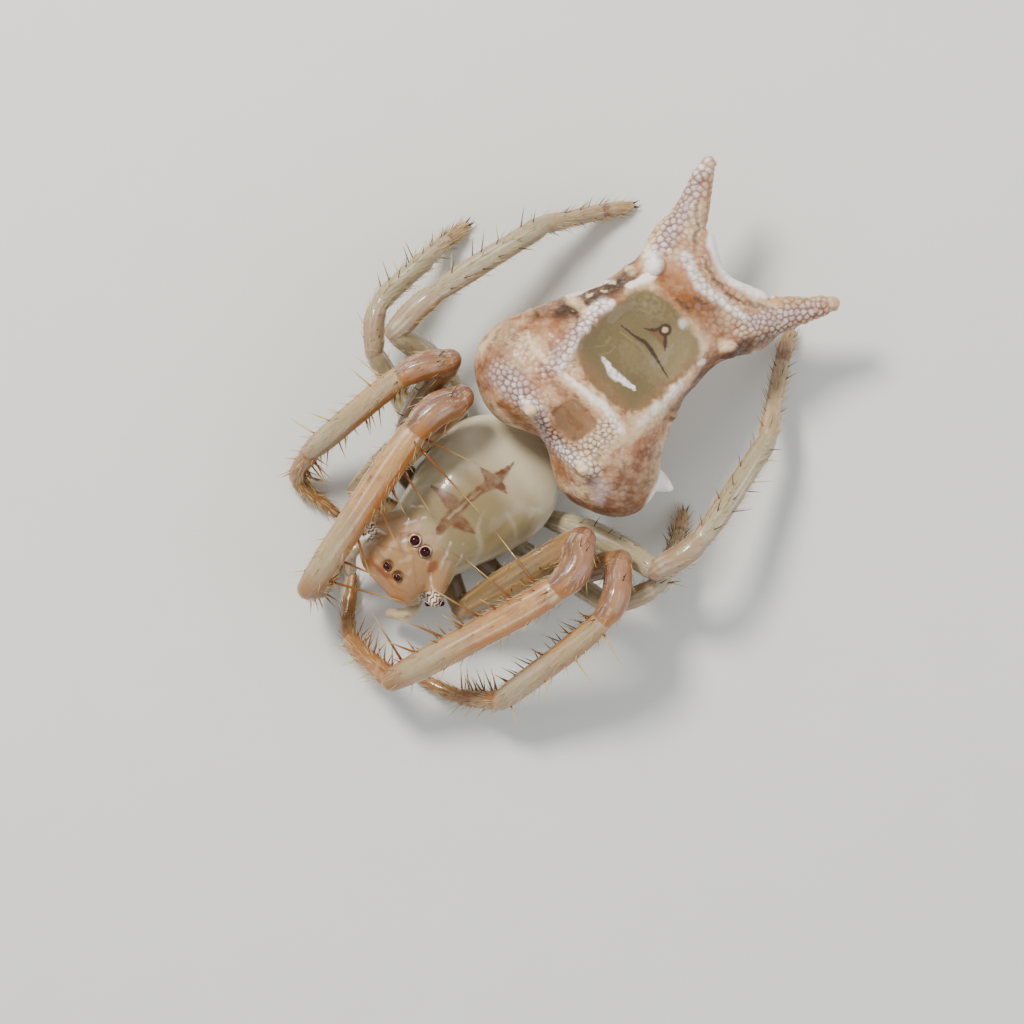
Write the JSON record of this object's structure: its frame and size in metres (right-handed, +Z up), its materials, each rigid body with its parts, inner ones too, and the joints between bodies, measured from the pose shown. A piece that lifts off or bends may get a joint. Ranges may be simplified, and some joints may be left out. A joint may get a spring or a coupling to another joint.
{
  "type": "fork-tailed arkys spider",
  "caption": "Life-size still model of a fork-tailed arkys, a small spider with a two-horned tail, resting on its eight feet.",
  "frame": {"origin": "middle of the stance, on the surface the feet stand on", "axes": "+X to the animal's left, +Y towards its forked tail, +Z up"},
  "size_m": [0.0078, 0.0104, 0.0033],
  "materials": {
    "cream_granules": "granular, satin",
    "clear_shell": "translucent, glossy",
    "pale_leg": "translucent, glossy",
    "amber_leg": "translucent, glossy",
    "eye": "high gloss"
  },
  "bodies": {
    "root": {"carapace": "clear_shell", "sternum": "clear_shell", "chelicera_left": "amber_leg", "chelicera_right": "amber_leg", "palp_left": "pale_leg", "palp_right": "pale_leg", "eye_front_middle_left": "eye", "eye_front_middle_right": "eye", "eye_rear_middle_left": "eye", "eye_rear_middle_right": "eye", "eye_front_side_left": "eye", "eye_front_side_right": "eye", "eye_rear_side_left": "eye", "eye_rear_side_right": "eye", "abdomen": "cream_granules", "tail_horn_left": "cream_granules", "tail_horn_right": "cream_granules", "spinnerets": "cream_granules", "leg_1_left_femur": "pale_leg", "leg_1_left_tibia": "amber_leg", "leg_1_left_foot": "amber_leg", "leg_1_right_femur": "pale_leg", "leg_1_right_tibia": "amber_leg", "leg_1_right_foot": "amber_leg", "leg_2_left_femur": "pale_leg", "leg_2_left_tibia": "amber_leg", "leg_2_left_foot": "amber_leg", "leg_2_right_femur": "pale_leg", "leg_2_right_tibia": "amber_leg", "leg_2_right_foot": "amber_leg", "leg_3_left_femur": "pale_leg", "leg_3_left_tibia": "pale_leg", "leg_3_left_foot": "pale_leg", "leg_3_right_femur": "pale_leg", "leg_3_right_tibia": "pale_leg", "leg_3_right_foot": "pale_leg", "leg_4_left_femur": "pale_leg", "leg_4_left_tibia": "pale_leg", "leg_4_left_foot": "pale_leg", "leg_4_right_femur": "pale_leg", "leg_4_right_tibia": "pale_leg", "leg_4_right_foot": "pale_leg"}
  },
  "joints": []
}
